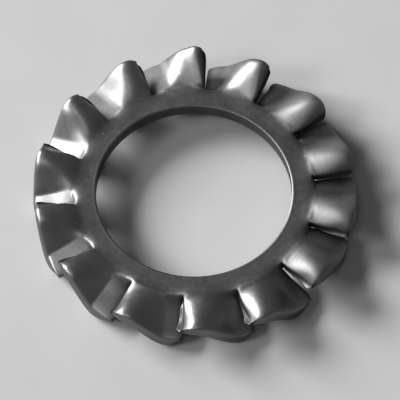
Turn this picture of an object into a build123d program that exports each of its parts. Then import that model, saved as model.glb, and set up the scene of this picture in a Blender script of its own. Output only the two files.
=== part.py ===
import os
from math import cos, radians, sin, tan

from build123d import *

os.makedirs("parts", exist_ok=True)

# Externally toothed lock washer, stamped from one sheet. The ring lies flat about the XY plane,
# the origin is the middle of its bore at half its thickness, and +Z is the bore's axis.
# Each tooth is twisted into a fin that rises clockwise, seen from above, so that its high edge
# bites the part above the washer and its low edge the part below.

# Ring
bore_diameter = 8.4
outer_diameter = 13.8
sheet_thickness = 0.66
ring_width = 0.95
bore_chamfer = 0.07

# Fins, with slopes in degrees at full twist
tooth_count = 14
slit_width = 0.08
foot_slope = 28
ramp_slope = 50
foot_share = 0.29
ramp_stretch = 1.08
crest_round_length = 0.74
root_crest_round_length = 0.25

# How the twist grows along a fin, as shares of its length and of the full twist
halfway_share = 0.14
halfway_twist = 0.42
shoulder_share = 0.43
tongue_length = 0.25
tongue_twist = 0.08
tongue_thickness_share = 0.6
trim_allowance = 0.1

bore_radius = bore_diameter / 2
slit_root_radius = bore_radius + ring_width
tip_radius = outer_diameter / 2
fin_length = tip_radius - slit_root_radius
halfway_radius = slit_root_radius + halfway_share * fin_length
shoulder_radius = slit_root_radius + shoulder_share * fin_length
half_pitch = radians(180 / tooth_count)


def heading(degrees):
    return Vector(cos(radians(degrees)), sin(radians(degrees)))


# The section's upper side runs from the low edge along the foot to a crease, up the ramp, over
# the rounded crest and down the cut face. The lower side is the same, turned by half a turn.
def fin_section(radius, twist, thickness):
    foot = heading(foot_slope * twist)
    ramp = heading(ramp_slope * twist)
    lean = foot_slope * twist**2
    cut = heading(lean - 90)

    flat_width = 2 * radius * tan(half_pitch) - slit_width
    foot_length = foot_share * flat_width
    ramp_length = flat_width * ramp_stretch**twist - foot_length
    bend = radians((ramp_slope - foot_slope) * twist)
    cut_length = (thickness + foot_length * sin(bend)) / cos(radians(ramp_slope * twist - lean))

    low_edge = (foot * foot_length + ramp * ramp_length + cut * cut_length) * -0.5
    crease = low_edge + foot * foot_length
    corner = crease + ramp * ramp_length
    round_length = root_crest_round_length + (crest_round_length - root_crest_round_length) * twist
    crest_start = corner - ramp * round_length
    crest_end = corner + cut * round_length

    across_fin = Plane(origin=(radius, 0, 0), x_dir=(0, -1, 0), z_dir=(-1, 0, 0))
    with BuildSketch(across_fin) as section:
        with BuildLine():
            Polyline(-crest_end, low_edge, crease, crest_start)
            Spline(crest_start, crest_end, tangents=[ramp, cut])
            Polyline(crest_end, -low_edge, -crease, -crest_start)
            Spline(-crest_start, -crest_end, tangents=[-ramp, -cut])
        make_face()
    return section.sketch


tongue_radius = slit_root_radius - tongue_length
tongue = fin_section(tongue_radius, tongue_twist, tongue_thickness_share * sheet_thickness)
halfway = fin_section(halfway_radius, halfway_twist, sheet_thickness)
shoulder = fin_section(shoulder_radius, 1, sheet_thickness)
untrimmed_tip = fin_section(tip_radius + trim_allowance, 1, sheet_thickness)

with BuildPart() as fin:
    loft([tongue, halfway, shoulder])
    loft([shoulder, untrimmed_tip], ruled=True)
    with BuildSketch():
        Circle(tip_radius)
    extrude(amount=tip_radius, both=True, mode=Mode.INTERSECT)

with BuildPart() as lock_washer:
    with BuildSketch():
        Circle(slit_root_radius)
        Circle(bore_radius, mode=Mode.SUBTRACT)
    extrude(amount=sheet_thickness / 2, both=True)
    bore_edges = lock_washer.edges().filter_by(GeomType.CIRCLE).group_by(SortBy.RADIUS)[0]
    chamfer(bore_edges, bore_chamfer)
    with PolarLocations(0, tooth_count):
        add(fin.part)

lock_washer.part.label = "lock_washer"
export_step(lock_washer.part, "parts/lock_washer.step")
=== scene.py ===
import math
import random

import bmesh
import bpy
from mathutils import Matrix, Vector


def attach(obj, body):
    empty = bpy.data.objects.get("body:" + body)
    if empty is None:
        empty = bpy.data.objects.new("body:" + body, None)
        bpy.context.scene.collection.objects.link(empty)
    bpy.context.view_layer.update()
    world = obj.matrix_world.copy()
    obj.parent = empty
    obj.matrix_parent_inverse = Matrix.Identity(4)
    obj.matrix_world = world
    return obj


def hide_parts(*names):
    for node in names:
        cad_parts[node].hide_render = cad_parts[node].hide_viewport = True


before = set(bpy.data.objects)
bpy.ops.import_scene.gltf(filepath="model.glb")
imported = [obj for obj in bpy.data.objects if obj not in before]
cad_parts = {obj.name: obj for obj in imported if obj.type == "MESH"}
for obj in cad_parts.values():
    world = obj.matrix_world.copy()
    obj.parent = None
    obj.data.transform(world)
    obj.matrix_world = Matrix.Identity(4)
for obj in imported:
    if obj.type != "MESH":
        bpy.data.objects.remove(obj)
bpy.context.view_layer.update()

mm = 0.001


def clearSelection():
    if bpy.context.object and bpy.context.object.mode != "OBJECT":
        bpy.ops.object.mode_set(mode="OBJECT")
    bpy.ops.object.select_all(action="DESELECT")


def makeActive(piece):
    clearSelection()
    piece.select_set(True)
    bpy.context.view_layer.objects.active = piece


def pickVertices(piece, wanted):
    mesh = bmesh.from_edit_mesh(piece.data)
    bpy.ops.mesh.select_all(action="DESELECT")
    for vertex in mesh.verts:
        if wanted(vertex):
            vertex.select_set(True)
    mesh.select_flush(True)
    bmesh.update_edit_mesh(piece.data)


# The washer starts as one tooth's share of the sheet, a blank, which is copied round the bore. Every
# copy is bent a little in its own way, and then they are welded together.
# The blank lies on +X. Its rows run from the bore to the rim and its columns across the tooth: column 0
# is the low edge, the foot, on the +Y side, and the last column is the crest, on the -Y side. Layer 0 is
# the upper face and the last layer the lower one. Sizes are in millimetres, angles in degrees.
washer = {
    "teeth": 14,
    "columns": 10,
    "layers": 3,
    "sheet": 0.66,
    # every row's radius, and the last row before the slits
    "rows": [
        4.2, 4.27, 4.33, 4.45, 4.65, 4.85, 5.0, 5.12, 5.22, 5.38, 5.65, 6.0, 6.3, 6.55, 6.75, 6.86, 6.9,
    ],
    "lastWeldedRow": 7,
    # the punch rounds the bore's edges and leaves a low lip behind them
    "boreRounding": 0.015,
    "boreLip": 0.005,
    # every column's place as a share of the pitch, at the root and at the tip, and how far each row has
    # gone from the first to the second
    "across": [-0.478, -0.38, -0.285, -0.195, -0.1, 0.01, 0.117, 0.212, 0.305, 0.385, 0.447],
    "acrossAtTip": [-0.475, -0.375, -0.28, -0.195, -0.1, 0.0, 0.095, 0.18, 0.255, 0.325, 0.39],
    "leanShare": [0, 0, 0, 0, 0, 0, 0, 0, 0, 0.08, 0.3, 0.6, 0.85, 1, 1, 1, 1],
    # inside the slits' roots the columns go only so far from even spacing
    "unevenAtWeld": 0.5,
    # every column's share of the way up from the crease to the crest, in the same manner
    "rise": [0, 0, 0, 0, 0.34, 0.665, 0.9, 0.985, 0.99, 0.91, 0.77],
    "riseAtTip": [0, 0, 0, 0, 0.26, 0.57, 0.84, 0.96, 1.0, 0.97, 0.87],
    "tipShare": [0, 0, 0, 0, 0, 0, 0, 0, 0, 0, 0, 0.1, 0.35, 0.65, 0.9, 1, 1],
    # the crest reaches further over the slit near its root: a share of the pitch for every row, and how
    # much of it the columns take, from the last one inwards
    "overhang": [0, 0, 0, 0, 0, 0, 0.01, 0.015, 0.02, 0.025, 0.02, 0.01, 0, 0, 0, 0, 0],
    "overhangShare": [1, 0.8, 0.4],
    # the foot slopes down from the crease, and in full only outside the slits' roots
    "creaseColumn": 3,
    "footSlope": 28,
    "footShare": [0, 0, 0, 0, 0, 0, 0.05, 0.25, 1, 1, 1, 1, 1, 1, 1, 1, 1],
    # heights of the crest and of the crease in every row
    "crest": [
        0.33, 0.33, 0.33, 0.33, 0.33, 0.345, 0.36, 0.40, 0.465, 0.57, 0.725, 0.895, 1.02, 1.085, 1.11,
        1.09, 1.07,
    ],
    "crease": [
        0.33, 0.33, 0.33, 0.33, 0.33, 0.325, 0.31, 0.29, 0.26, 0.2, 0.1, -0.04, -0.15, -0.24, -0.31,
        -0.35, -0.37,
    ],
    # how far the rim's upper edge is rolled over in every row, how far it is in the crest's columns, and
    # how far the lower edge is, all as shares of the sheet there
    "rimRoll": [0, 0, 0, 0, 0, 0, 0, 0, 0, 0, 0, 0, 0, 0, 0.01, 0.06, 0.28],
    "crestRimRoll": [0, 0, 0, 0, 0, 0, 0, 0, 0, 0, 0, 0, 0, 0.01, 0.05, 0.14, 0.34],
    "crestColumns": 3,
    "rimRollBelow": 0.08,
    # the shears drag a lip out of each cut face's far edge
    "burr": 0.04,
    # the corners' rounding seen from above, in the outermost column and the one beside it, from the rim
    # inwards
    "cornerRounding": {0: [0.15, 0.07, 0.01], 1: [0.035, 0.01, 0]},
    # how crisp the edges are: round the bore, along the rim's lower edge, along the crease, where the
    # foot starts and along the burr
    "boreCrisp": 0.9,
    "rimCrisp": 0.8,
    "creaseCrisp": 0.8,
    "rootCrisp": 0.8,
    "burrCrisp": 0.9,
    # how dark and rough the cut faces are made, their rounded edge and the bore: partly the sheared
    # steel's own look, partly painted shade that dims their reflections and the glint along the bore's
    # edge
    "flankDarkRough": 1,
    "flankEdgeDarkRough": 0.45,
    "boreDarkRough": 0.25,
    # how much of a tooth's own bending every row takes
    "bendShare": [0, 0, 0, 0, 0, 0, 0, 0, 0.2, 0.45, 0.68, 0.86, 0.95, 1, 1, 1, 1],
    # no tooth stands quite in its place. Tooth 0 is on +X and the numbers go on clockwise, seen from
    # above: how far each is turned that way, and how much of its twist has been pressed out of it
    "turns": [0.2, 0, 0.3, -1.0, -0.4, 1.0, 1.1, 0.4, 0.2, 0, -0.1, 0, 0.6, 0.3],
    "untwists": [18, 15, 14, 16, 18, 8, 0, 3, 0, 8, 0, 4, 15, 17],
    # how far some have sunk
    "sinks": {2: 0.2, 3: 0.22, 4: 0.22},
    # how far the tips of some reach out, how many rows beyond the root that starts, and the share of it
    # at the foot's edge
    "reaches": {0: 0.12, 1: 0.1, 2: 0.08, 12: 0.12, 13: 0.08},
    "reachStart": 2,
    "footReach": 0.5,
    # some feet are bent over the slit and up, by so much at the tip, and less in the next columns
    "footBends": {5: (0.3, 0.1), 6: (0.25, 0.15), 9: (0, 0.2), 10: (0, 0.22)},
    "footBendShare": [1, 0.66, 0.33],
    # how far some teeth have been pressed up in each column, and the least share of it in any row
    "lifts": {
        9: [0.22, 0.15, 0.07],
        10: [0.22, 0.22, 0.22, 0.2, 0.14, 0.05, -0.05, -0.07, 0, 0.13, 0.18],
        11: [0, 0, 0, 0, 0, -0.02, -0.05, -0.05, 0, 0.06, 0.06],
        12: [-0.08, -0.05, -0.03],
    },
    "leastLiftShare": 0.6,
    # wear has softened most creases, and pressing has sharpened one
    "creaseChange": -0.8,
    "creaseChanges": {5: 0, 6: 0, 7: 0, 8: 0, 10: 0.2},
    # some crests lap over the outer end of the cut face, with shares from the rim inwards and from the
    # upper face down
    "laps": {8: 0.2, 9: 0.24, 10: 0.16, 11: 0.2, 12: 0.14, 13: 0.1},
    "lapRows": [1, 0.9, 0.65, 0.4, 0.15],
    "lapLayers": [-0.25, 0.35, 0.85, 1],
    # some crests droop at the rim, with shares from there inwards
    "droops": {0: 0.16, 1: 0.1, 12: 0.08, 13: 0.16},
    "droopRows": [1, 0.8, 0.55, 0.3, 0.1],
    # slivers that the shears left in some slits: how far they stand out and how many rows beyond the
    # root they start, then how uneven they are and how much they are darkened
    "slivers": {0: (0.04, 5), 1: (0.02, 6), 2: (0.08, 6), 3: (0.09, 2)},
    "sliverWander": 0.045,
    "sliverDarkRough": 0.1,
    # how far the sheared edges wander, and the seed of all that is uneven
    "ragged": 0.022,
    "seed": 4,
    # how rough the steel is made, with painted shade darkening its tone, or below zero how smooth it
    # has been rubbed: the crests' side of some teeth, where it takes so many columns to come in, then
    # the slits' roots and the feet
    "dullAndShade": {0: 1.1, 1: 0.9, 2: 0.3, 12: 0.5, 13: 1},
    "dullAndShadeColumns": 2,
    "dullAndShadeRoot": 2,
    "dullAndShadeRoots": {5: 0, 6: 0, 8: 1.2},
    "dullAndShadeFeet": {6: -0.2, 7: -0.4, 8: 0.4, 9: 1.7, 10: 2.2, 11: 0.3},
    # how exactly the blank's sides are found, as a share of its half width, and how near two vertices
    # are when they are welded
    "slack": 0.01,
    "weldDistance": 0.002,
    # how often the mesh is subdivided, and the sharpest bend that is shaded smooth
    "smoothing": 2,
    "shadingAngle": 35,
}


def buildBlank(values):
    rows = values["rows"]
    columns = values["columns"]
    layers = values["layers"]
    half = math.pi / values["teeth"]
    slack = half * values["slack"]
    clearSelection()
    bpy.ops.mesh.primitive_circle_add(
        vertices=values["teeth"] * columns, radius=rows[0] * mm, fill_type="NOTHING"
    )
    blank = bpy.context.object
    blank.name = "lockWasher"
    bpy.ops.object.mode_set(mode="EDIT")
    bpy.ops.mesh.select_mode(type="VERT")
    pickVertices(blank, lambda v: abs(math.atan2(v.co.y, v.co.x)) > half + slack)
    bpy.ops.mesh.delete(type="VERT")
    bpy.ops.mesh.select_all(action="SELECT")
    for inner, outer in zip(rows, rows[1:]):
        bpy.ops.mesh.extrude_edges_move()
        stretch = outer / inner
        bpy.ops.transform.resize(value=(stretch, stretch, 1), center_override=(0, 0, 0))
    bpy.ops.mesh.select_all(action="SELECT")
    bpy.ops.transform.translate(value=(0, 0, values["sheet"] / 2 * mm))
    for layer in range(layers):
        bpy.ops.mesh.extrude_region_move(
            TRANSFORM_OT_translate={"value": (0, 0, -values["sheet"] / layers * mm)}
        )
    # the flanks inside the slit's root go, so that the neighbours can be welded there
    root = rows[values["lastWeldedRow"]] * mm
    mesh = bmesh.from_edit_mesh(blank.data)
    bpy.ops.mesh.select_all(action="DESELECT")
    bpy.ops.mesh.select_mode(type="FACE")
    for face in mesh.faces:
        middle = face.calc_center_median()
        along = math.atan2(middle.y, middle.x)
        face.select_set(abs(abs(along) - half) < 2 * slack and middle.xy.length < root)
    bmesh.update_edit_mesh(blank.data)
    bpy.ops.mesh.delete(type="FACE")
    bpy.ops.mesh.select_mode(type="VERT")
    return blank


def nameVertices(blank, values):
    # row, column and layer of every vertex, read while the blank is still flat
    rows = values["rows"]
    half = math.pi / values["teeth"]
    step = values["sheet"] / values["layers"]
    mesh = bmesh.from_edit_mesh(blank.data)
    places = {}
    for vertex in mesh.verts:
        radius = vertex.co.xy.length / mm
        row = min(range(len(rows)), key=lambda i: abs(rows[i] - radius))
        turn = (half - math.atan2(vertex.co.y, vertex.co.x)) / (2 * half)
        column = round(turn * values["columns"])
        layer = round((values["sheet"] / 2 - vertex.co.z / mm) / step)
        places[vertex.index] = (row, column, layer)
    return places


def markCutFaces(blank, values, places):
    # the attribute "cut": how dark and rough the steel is made, partly the sheared faces' own look
    # and partly painted shade
    bpy.ops.object.mode_set(mode="OBJECT")
    cut = blank.data.attributes.new("cut", "FLOAT", "POINT")
    lastColumn = values["columns"]
    roundedEdges = ((lastColumn, 0), (0, values["layers"]))
    for vertex in blank.data.vertices:
        row, column, layer = places[vertex.index]
        if column in (0, lastColumn) and row >= values["lastWeldedRow"]:
            rounded = (column, layer) in roundedEdges
            cut.data[vertex.index].value = values["flankEdgeDarkRough"] if rounded else values["flankDarkRough"]
        elif row == 0:
            cut.data[vertex.index].value = values["boreDarkRough"]
    bpy.ops.object.mode_set(mode="EDIT")


def roundBore(blank, values, places):
    for layer, side in ((0, 1), (values["layers"], -1)):
        for row, lift in ((0, -values["boreRounding"]), (1, values["boreLip"])):
            pickVertices(blank, lambda v: places[v.index][0] == row and places[v.index][2] == layer)
            bpy.ops.transform.translate(value=(0, 0, side * lift * mm))


def across(values, row, column):
    inwards = values["columns"] - column
    share = dict(enumerate(values["overhangShare"])).get(inwards, 0)
    lean = values["leanShare"][row]
    place = values["across"][column] * (1 - lean) + values["acrossAtTip"][column] * lean
    return place + values["overhang"][row] * share


def topHeight(values, row, column):
    foot = values["creaseColumn"]
    crease, crest = values["crease"][row], values["crest"][row]
    if column >= foot:
        tip = values["tipShare"][row]
        rise = values["rise"][column] * (1 - tip) + values["riseAtTip"][column] * tip
        return crease + (crest - crease) * rise
    pitch = 2 * math.pi / values["teeth"] * values["rows"][row]
    run = (values["across"][foot] - across(values, row, column)) * pitch
    return crease - run * math.tan(math.radians(values["footSlope"])) * values["footShare"][row]


def crossSection(values, row, column):
    # where a column's two ends lie, across and up: the lower face is the upper one turned over
    columns = values["columns"]
    uneven = values["unevenAtWeld"] if row <= values["lastWeldedRow"] else 1
    even = (column / columns - 0.5) * (1 - uneven)
    above = even + across(values, row, column) * uneven
    opposite = even - across(values, row, columns - column) * uneven
    pitch = 2 * math.pi / values["teeth"] * values["rows"][row]
    top = (-above * pitch, topHeight(values, row, column))
    below = (-opposite * pitch, -topHeight(values, row, columns - column))
    depth = top[1] - below[1]
    roll = "crestRimRoll" if column >= columns - values["crestColumns"] else "rimRoll"
    top = (top[0], top[1] - depth * values[roll][row])
    if row == len(values["rows"]) - 1:
        below = (below[0], below[1] + depth * values["rimRollBelow"])
    return top, below


def placeVertex(blank, values, places, place, target):
    mesh = bmesh.from_edit_mesh(blank.data)
    found = [v for v in mesh.verts if places[v.index] == place]
    if not found:  # the sheet is hollow
        return
    row, column, layer = place
    inwards = len(values["rows"]) - 1 - row
    corner = values["cornerRounding"].get(min(column, values["columns"] - column), [])
    shrink = corner[inwards] if inwards < len(corner) else 0
    move = Vector((found[0].co.x - shrink * mm, target[0] * mm, target[1] * mm)) - found[0].co
    pickVertices(blank, lambda v: places[v.index] == place)
    bpy.ops.transform.translate(value=move)


def shapeTooth(blank, values, places):
    columns = values["columns"]
    layers = values["layers"]
    root = values["lastWeldedRow"]
    burrRows = range(root + 1, len(values["rows"]) - 2)
    flat = values["sheet"] / 2
    for row in range(len(values["rows"])):
        # the ring stays flat
        if values["crest"][row] == flat and values["crease"][row] == flat:
            continue
        for column in range(columns + 1):
            if row <= root and column in (0, columns):
                continue
            top, below = crossSection(values, row, column)
            for layer in range(layers + 1):
                part = layer / layers
                target = [t + (b - t) * part for t, b in zip(top, below)]
                if row in burrRows and (column, layer) in ((columns, layers), (0, 0)):
                    side = 1 if column == 0 else -1
                    lip = side * values["burr"]
                    target = [target[0] + lip, target[1] - lip / 2]
                placeVertex(blank, values, places, (row, column, layer), target)


# a and b are the places of an edge's two ends, each its row, column and layer
def runsOut(a, b):
    return a[1:] == b[1:]


def runsRound(a, b):
    return a[0] == b[0] and a[2] == b[2]


def creaseEdges(piece, places, wanted, amount):
    mesh = bmesh.from_edit_mesh(piece.data)
    bpy.ops.mesh.select_all(action="DESELECT")
    bpy.ops.mesh.select_mode(type="EDGE")
    for edge in mesh.edges:
        a, b = (places[v.index] for v in edge.verts)
        edge.select_set(wanted(a, b))
    bmesh.update_edit_mesh(piece.data)
    bpy.ops.transform.edge_crease(value=amount)
    bpy.ops.mesh.select_mode(type="VERT")


def creaseBlank(blank, values, places):
    layers = values["layers"]
    foot = values["creaseColumn"]
    lastColumn = values["columns"]
    root = values["lastWeldedRow"]
    lastRow = len(values["rows"]) - 1

    def onBore(a, b):
        return runsRound(a, b) and a[0] in (0, 1) and a[2] in (0, layers)

    def onRim(a, b):
        betweenCorners = min(a[1], b[1]) > 1 and max(a[1], b[1]) < lastColumn - 1
        return runsRound(a, b) and (a[0], a[2]) == (lastRow, layers) and betweenCorners

    def onCrease(a, b):
        ends = ((foot, 0), (lastColumn - foot, layers))
        return runsOut(a, b) and min(a[0], b[0]) > root and a[1:] in ends

    def onRoot(a, b):
        if not runsRound(a, b) or a[0] != root + 1:
            return False
        above = a[2] == 0 and max(a[1], b[1]) <= foot
        below = a[2] == layers and min(a[1], b[1]) >= lastColumn - foot
        return above or below

    def onBurr(a, b):
        ends = ((0, 0), (lastColumn, layers))
        inRows = min(a[0], b[0]) >= root and max(a[0], b[0]) < lastRow - 1
        return runsOut(a, b) and inRows and a[1:] in ends

    creaseEdges(blank, places, onBore, values["boreCrisp"])
    creaseEdges(blank, places, onRim, values["rimCrisp"])
    creaseEdges(blank, places, onCrease, values["creaseCrisp"])
    creaseEdges(blank, places, onRoot, values["rootCrisp"])
    creaseEdges(blank, places, onBurr, values["burrCrisp"])


def changeCrease(tooth, values, places, number):
    line = (values["creaseColumn"], 0)
    root = values["lastWeldedRow"]
    change = values["creaseChanges"].get(number, values["creaseChange"])
    creaseEdges(
        tooth, places, lambda a, b: runsOut(a, b) and min(a[0], b[0]) > root and a[1:] == line, change
    )


def lapCrest(tooth, values, places, number):
    lap = values["laps"].get(number, 0) * mm
    lastRow = len(values["rows"]) - 1
    for inwards, rowShare in enumerate(values["lapRows"]):
        for layer, layerShare in enumerate(values["lapLayers"]):
            place = (lastRow - inwards, values["columns"], layer)
            pickVertices(tooth, lambda v: places[v.index] == place)
            back = rowShare * layerShare * lap
            bpy.ops.transform.translate(value=(-max(0, back) / 2, back, -max(0, back) / 2))


def droopCrest(tooth, values, places, number):
    droop = values["droops"].get(number, 0) * mm
    lastRow = len(values["rows"]) - 1
    middle = values["columns"] / 2
    for inwards, share in enumerate(values["droopRows"]):
        row = lastRow - inwards
        pickVertices(tooth, lambda v: places[v.index][0] == row and places[v.index][1] > middle)
        bpy.ops.transform.translate(value=(0, 0, -share * droop))


def sliverRows(values, number):
    # the rows that a tooth's sliver takes up, none where it has no sliver
    lastRow = len(values["rows"]) - 1
    beyond = values["slivers"].get(number, (0, lastRow))[1]
    return range(values["lastWeldedRow"] + beyond, lastRow - 1)


def leaveSliver(tooth, values, places, number, chance):
    reach = values["slivers"].get(number, (0, 0))[0]
    for row in sliverRows(values, number):
        place = (row, values["columns"], values["layers"])
        out = (reach + chance.uniform(-1, 1) * values["sliverWander"]) * mm
        pickVertices(tooth, lambda v: places[v.index] == place)
        bpy.ops.transform.translate(value=(0, -out, out))


def bendRow(tooth, values, places, number, row, chance):
    root = values["lastWeldedRow"]
    lastRow = len(values["rows"]) - 1
    lastColumn = values["columns"]
    share = values["bendShare"][row]
    over, up = values["footBends"].get(number, (0, 0))
    for column, part in enumerate(values["footBendShare"]):
        pickVertices(tooth, lambda v: places[v.index][:2] == (row, column))
        reach = part * (row - root) / (lastRow - root) * mm
        bpy.ops.transform.translate(value=(0, over * reach, up * reach))
    for column, lift in enumerate(values["lifts"].get(number, [])):
        pickVertices(tooth, lambda v: places[v.index][:2] == (row, column))
        bpy.ops.transform.translate(value=(0, 0, lift * max(share, values["leastLiftShare"]) * mm))
    for column in (0, lastColumn):
        for layer in (0, values["layers"]):
            pickVertices(tooth, lambda v: places[v.index] == (row, column, layer))
            wander = [chance.uniform(-1, 1) * values["ragged"] * mm for axis in range(2)]
            bpy.ops.transform.translate(value=(0, *wander))
    pickVertices(tooth, lambda v: places[v.index][0] == row)
    turn = math.radians(values["turns"][number]) * share
    bpy.ops.transform.rotate(value=turn, orient_axis="Z", center_override=(0, 0, 0))
    untwist = math.radians(values["untwists"][number]) * share
    bpy.ops.transform.rotate(value=-untwist, orient_axis="X", center_override=(0, 0, 0))
    start = root + values["reachStart"]
    reach = values["reaches"].get(number, 0) * max(0, row - start) / (lastRow - start)
    sink = values["sinks"].get(number, 0) * share
    for column in range(lastColumn + 1):
        pickVertices(tooth, lambda v: places[v.index][:2] == (row, column))
        out = reach * min(1, values["footReach"] + column / lastColumn)
        bpy.ops.transform.translate(value=(out * mm, 0, -sink * mm))


def bendTooth(tooth, values, places, number, chance):
    bpy.ops.object.mode_set(mode="EDIT")
    changeCrease(tooth, values, places, number)
    lapCrest(tooth, values, places, number)
    droopCrest(tooth, values, places, number)
    leaveSliver(tooth, values, places, number, chance)
    for row in range(values["lastWeldedRow"] + 1, len(values["rows"])):
        bendRow(tooth, values, places, number, row, chance)
    bpy.ops.object.mode_set(mode="OBJECT")


def dullAndShadeTooth(tooth, values, places, number):
    # an attribute for how rough the steel is made and how much painted shade darkens its tone.
    # Slivers are darkened less than the cut faces
    foot = values["creaseColumn"]
    root = values["lastWeldedRow"]
    slivered = sliverRows(values, number)
    sliverEdge = (values["columns"], values["layers"])
    dullAndShade = tooth.data.attributes.new("dullAndShade", "FLOAT", "POINT")
    cut = tooth.data.attributes["cut"]
    for vertex in tooth.data.vertices:
        row, column, layer = places[vertex.index]
        if row in slivered and (column, layer) == sliverEdge:
            cut.data[vertex.index].value = values["sliverDarkRough"]
        amount = 0
        if row > root + 1 and column > foot:
            share = min(1, (column - foot) / values["dullAndShadeColumns"])
            amount = values["dullAndShade"].get(number, 0) * share
        elif row in (root, root + 1) and column <= 1:
            amount = values["dullAndShadeRoots"].get(number, values["dullAndShadeRoot"])
        elif row > root and column <= foot:
            amount = values["dullAndShadeFeet"].get(number, 0)
        dullAndShade.data[vertex.index].value = amount


def weldTeeth(teeth, values):
    clearSelection()
    for tooth in teeth:
        tooth.select_set(True)
    piece = teeth[0]
    bpy.context.view_layer.objects.active = piece
    bpy.ops.object.join()
    piece.name = "lockWasher"
    bpy.ops.object.mode_set(mode="EDIT")
    bpy.ops.mesh.select_all(action="SELECT")
    bpy.ops.mesh.remove_doubles(threshold=values["weldDistance"] * mm)
    bpy.ops.mesh.normals_make_consistent(inside=False)
    bpy.ops.object.mode_set(mode="OBJECT")
    return piece


def buildWasher(values):
    blank = buildBlank(values)
    places = nameVertices(blank, values)
    markCutFaces(blank, values, places)
    roundBore(blank, values, places)
    shapeTooth(blank, values, places)
    creaseBlank(blank, values, places)
    bpy.ops.object.mode_set(mode="OBJECT")
    chance = random.Random(values["seed"])
    teeth = []
    for number in range(values["teeth"]):
        makeActive(blank)
        bpy.ops.object.duplicate()
        tooth = bpy.context.object
        bendTooth(tooth, values, places, number, chance)
        dullAndShadeTooth(tooth, values, places, number)
        # with no window a positive angle turns clockwise
        turn = 2 * math.pi * number / values["teeth"]
        bpy.ops.transform.rotate(value=turn, orient_axis="Z", center_override=(0, 0, 0))
        bpy.ops.object.transform_apply()
        teeth.append(tooth)
    makeActive(blank)
    bpy.ops.object.delete()
    piece = weldTeeth(teeth, values)
    smooth = piece.modifiers.new("smooth", "SUBSURF")
    smooth.levels = values["smoothing"]
    smooth.render_levels = values["smoothing"]
    bpy.ops.object.modifier_apply(modifier=smooth.name)
    bpy.ops.object.shade_smooth_by_angle(angle=math.radians(values["shadingAngle"]))
    return piece


lockWasher = buildWasher(washer)
print("washer modelled,", len(lockWasher.data.polygons), "faces")

# tones and roughness run from 0 to 1, scales are per metre, heights and distances in millimetres
steelLook = {
    "tone": 0.41,
    "toneSpread": 0.11,
    "cloudScale": 700,
    "cloudDetail": 4,
    # painted shade: round the bore the tone is multiplied by this, until so far out, and further out
    # over the teeth's roots that is gone
    "boreShade": 0.74,
    "boreShadeUntil": 0.8,
    "boreShadeGone": 1.5,
    "rough": 0.4,
    "roughSpread": 0.06,
    # dull steel is rougher by so much, and painted shade multiplies its tone by this
    "dullRough": 0.19,
    "dullShadeTone": 0.8,
    # cut faces and the bore: dark, partly painted shade, and rough
    "cutTone": 0.07,
    "cutRough": 0.55,
    # a few bright nicks
    "nickScale": 1100,
    "nickSize": 0.06,
    "nickTone": 0.75,
    # relief: shallow dents under a fine grain
    "dentScale": 900,
    "dentDetail": 1,
    "dentHeight": 0.022,
    "grainScale": 5200,
    "grainDetail": 3,
    "grainHeight": 0.0003,
}
noiseMiddle = (0.3, 0.7)  # most of a noise lies between these


def addNode(material, kind, settings=None, inputs=None):
    node = material.node_tree.nodes.new(kind)
    for name, value in (settings or {}).items():
        setattr(node, name, value)
    for name, value in (inputs or {}).items():
        if isinstance(value, bpy.types.NodeSocket):
            material.node_tree.links.new(value, node.inputs[name])
        else:
            node.inputs[name].default_value = value
    return node


def addNoise(material, place, scale, detail):
    inputs = {"Vector": place, "Scale": scale, "Detail": detail}
    return addNode(material, "ShaderNodeTexNoise", inputs=inputs).outputs["Fac"]


def addMath(material, operation, *numbers):
    inputs = dict(enumerate(numbers))
    return addNode(material, "ShaderNodeMath", {"operation": operation}, inputs).outputs["Value"]


def addMix(material, factor, low, high):
    inputs = {"Factor": factor, "A": low, "B": high}
    return addNode(material, "ShaderNodeMix", inputs=inputs).outputs["Result"]


def addRange(material, value, before, after):
    inputs = dict(zip(("From Min", "From Max", "To Min", "To Max"), (*before, *after)), Value=value)
    return addNode(material, "ShaderNodeMapRange", inputs=inputs).outputs["Result"]


def addGrey(material, tone):
    inputs = {name: tone for name in ("Red", "Green", "Blue")}
    return addNode(material, "ShaderNodeCombineColor", inputs=inputs).outputs["Color"]


def addRelief(material, height, distance, under=None):
    inputs = {"Height": height, "Distance": distance, "Strength": 1}
    if under:
        inputs["Normal"] = under
    return addNode(material, "ShaderNodeBump", inputs=inputs).outputs["Normal"]


def spreadAround(material, noise, middle, spread):
    return addRange(material, noise, noiseMiddle, (middle - spread / 2, middle + spread / 2))


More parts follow.
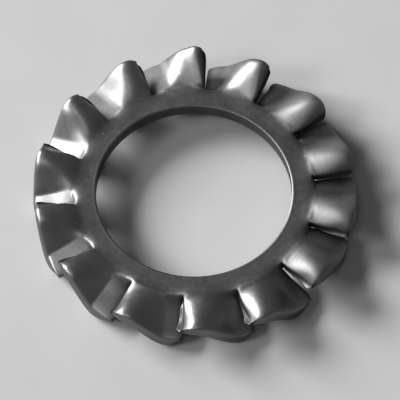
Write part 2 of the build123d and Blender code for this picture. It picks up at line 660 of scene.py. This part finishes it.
def makeSteel(values):
    steel = bpy.data.materials.new("steel")
    steel.use_nodes = True
    links = steel.node_tree.links
    shader = steel.node_tree.nodes["Principled BSDF"]
    shader.inputs["Metallic"].default_value = 1
    place = addNode(steel, "ShaderNodeTexCoord").outputs["Object"]
    cloud = addNoise(steel, place, values["cloudScale"], values["cloudDetail"])
    grain = addNoise(steel, place, values["grainScale"], values["grainDetail"])
    dents = addNoise(steel, place, values["dentScale"], values["dentDetail"])
    cut = addNode(steel, "ShaderNodeAttribute", {"attribute_name": "cut"}).outputs["Fac"]
    dullAndShade = addNode(steel, "ShaderNodeAttribute", {"attribute_name": "dullAndShade"}).outputs["Fac"]
    # cloudy, and darkened by painted shade round the bore, over the teeth's roots and where the steel
    # is dull
    flat = addNode(steel, "ShaderNodeVectorMath", {"operation": "MULTIPLY"}, {0: place, 1: (1, 1, 0)})
    radius = addNode(
        steel, "ShaderNodeVectorMath", {"operation": "LENGTH"}, {0: flat.outputs["Vector"]}
    ).outputs["Value"]
    bore = washer["rows"][0]
    fade = [(bore + values[name]) * mm for name in ("boreShadeUntil", "boreShadeGone")]
    boreShade = addRange(steel, radius, fade, (values["boreShade"], 1))
    cloudTone = spreadAround(steel, cloud, values["tone"], values["toneSpread"])
    tone = addMath(steel, "MULTIPLY", cloudTone, boreShade)
    tone = addMath(steel, "MULTIPLY", tone, addMix(steel, dullAndShade, 1, values["dullShadeTone"]))
    # nicked, and dark on the cut faces and the bore, partly painted shade
    nicks = addNode(steel, "ShaderNodeTexVoronoi", inputs={"Vector": place, "Scale": values["nickScale"]})
    nickEdge = (values["nickSize"], values["nickSize"] / 2)
    nicked = addRange(steel, nicks.outputs["Distance"], nickEdge, (0, 1))
    tone = addMix(steel, nicked, tone, values["nickTone"])
    tone = addMix(steel, cut, tone, values["cutTone"])
    links.new(addGrey(steel, tone), shader.inputs["Base Color"])
    rough = spreadAround(steel, grain, values["rough"], values["roughSpread"])
    rough = addMath(steel, "MULTIPLY_ADD", dullAndShade, values["dullRough"], rough)
    rough = addMix(steel, cut, rough, values["cutRough"])
    links.new(rough, shader.inputs["Roughness"])
    dented = addRelief(steel, dents, values["dentHeight"] * mm)
    grained = addRelief(steel, grain, values["grainHeight"] * mm, dented)
    links.new(grained, shader.inputs["Normal"])
    return steel


steel = makeSteel(steelLook)
lockWasher.data.materials.clear()
lockWasher.data.materials.append(steel)
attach(lockWasher, "root")
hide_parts("lock_washer")
print("steel given")

paperLook = {
    "size": 0.6,
    "tone": 0.68,
    "toneSpread": 0.03,
    "mottleScale": 260,
    "mottleDetail": 5,
    "rough": 0.9,
    # painted reflection: the steel sees less of the paper than the eye does
    "toneInSteel": 0.28,
}


def makePaper(values):
    paper = bpy.data.materials.new("paper")
    paper.use_nodes = True
    shader = paper.node_tree.nodes["Principled BSDF"]
    place = addNode(paper, "ShaderNodeTexCoord").outputs["Object"]
    mottle = addNoise(paper, place, values["mottleScale"], values["mottleDetail"])
    tone = spreadAround(paper, mottle, values["tone"], values["toneSpread"])
    # painted reflection: the paper's tone is darker in the steel's reflections
    rays = addNode(paper, "ShaderNodeLightPath")
    tone = addMix(paper, rays.outputs["Is Glossy Ray"], tone, values["toneInSteel"])
    paper.node_tree.links.new(addGrey(paper, tone), shader.inputs["Base Color"])
    shader.inputs["Roughness"].default_value = values["rough"]
    return paper


clearSelection()
lowest = min(v.co.z for v in lockWasher.data.vertices)
bpy.ops.mesh.primitive_plane_add(size=paperLook["size"], location=(0, 0, lowest))
floor = bpy.context.object
floor.name = "paper"
floor.data.materials.append(makePaper(paperLook))

# the room's plain light, and how bright the steel sees the room
roomLook = {"light": 0.05, "lightInSteel": 0.085}

# azimuths in degrees anticlockwise from +X, elevations above the paper, sizes in metres, power in watts
lamps = {
    "window": {
        "azimuth": 158.3, "elevation": 27, "distance": 0.5, "wide": 0.28, "tall": 0.19, "power": 3.65,
    },
    "sideWindow": {
        "azimuth": 203.3, "elevation": 37, "distance": 0.5, "wide": 0.17, "tall": 0.14, "power": 0.6,
    },
    "lamp": {
        "azimuth": 258, "elevation": 63, "distance": 0.5, "wide": 0.15, "tall": 0.15, "power": 0.1,
    },
}


def lightRoom(values):
    world = bpy.data.worlds.new("room")
    bpy.context.scene.world = world
    world.use_nodes = True
    rays = world.node_tree.nodes.new("ShaderNodeLightPath")
    sky = world.node_tree.nodes.new("ShaderNodeMix")
    sky.data_type = "RGBA"
    for name, value in (("A", values["light"]), ("B", values["lightInSteel"])):
        sky.inputs[name].default_value = (value, value, value, 1)
    background = world.node_tree.nodes["Background"]
    world.node_tree.links.new(rays.outputs["Is Glossy Ray"], sky.inputs["Factor"])
    world.node_tree.links.new(sky.outputs["Result"], background.inputs["Color"])


def direction(azimuth, elevation):
    a, e = math.radians(azimuth), math.radians(elevation)
    return Vector((math.cos(a) * math.cos(e), math.sin(a) * math.cos(e), math.sin(e)))


def addLamp(name, values):
    towards = direction(values["azimuth"], values["elevation"])
    bpy.ops.object.light_add(type="AREA", location=towards * values["distance"])
    lamp = bpy.context.object
    lamp.name = name
    lamp.data.energy = values["power"]
    lamp.data.shape = "RECTANGLE"
    lamp.data.size = values["wide"]
    lamp.data.size_y = values["tall"]
    lamp.rotation_euler = towards.to_track_quat("Z", "Y").to_euler()


lightRoom(roomLook)
for name in lamps:
    addLamp(name, lamps[name])

view = {
    "azimuth": -84.7,
    "elevation": 60,
    # millimetres
    "distance": 150,
    "sensor": 36,
    "clipStart": 1,
    # pixels: the square frame, and the bore in it
    "frameSize": 400,
    "boreRadius": 98.3,
    "boreMiddle": (194, 190),
}


def addCamera(values):
    size = values["frameSize"]
    target = Vector((0, 0, washer["sheet"] / 2 * mm))
    back = direction(values["azimuth"], values["elevation"])
    bpy.ops.object.camera_add(location=target + back * values["distance"] * mm)
    camera = bpy.context.object
    camera.rotation_euler = back.to_track_quat("Z", "Y").to_euler()
    pixelsPerMillimetre = values["boreRadius"] / washer["rows"][0]
    camera.data.sensor_width = values["sensor"]
    camera.data.lens = pixelsPerMillimetre * values["distance"] / size * values["sensor"]
    camera.data.shift_x = (size / 2 - values["boreMiddle"][0]) / size
    camera.data.shift_y = (values["boreMiddle"][1] - size / 2) / size
    camera.data.clip_start = values["clipStart"] * mm
    bpy.context.scene.camera = camera


addCamera(view)
bpy.context.scene.view_settings.view_transform = "Standard"
print("floor, lights and camera placed")
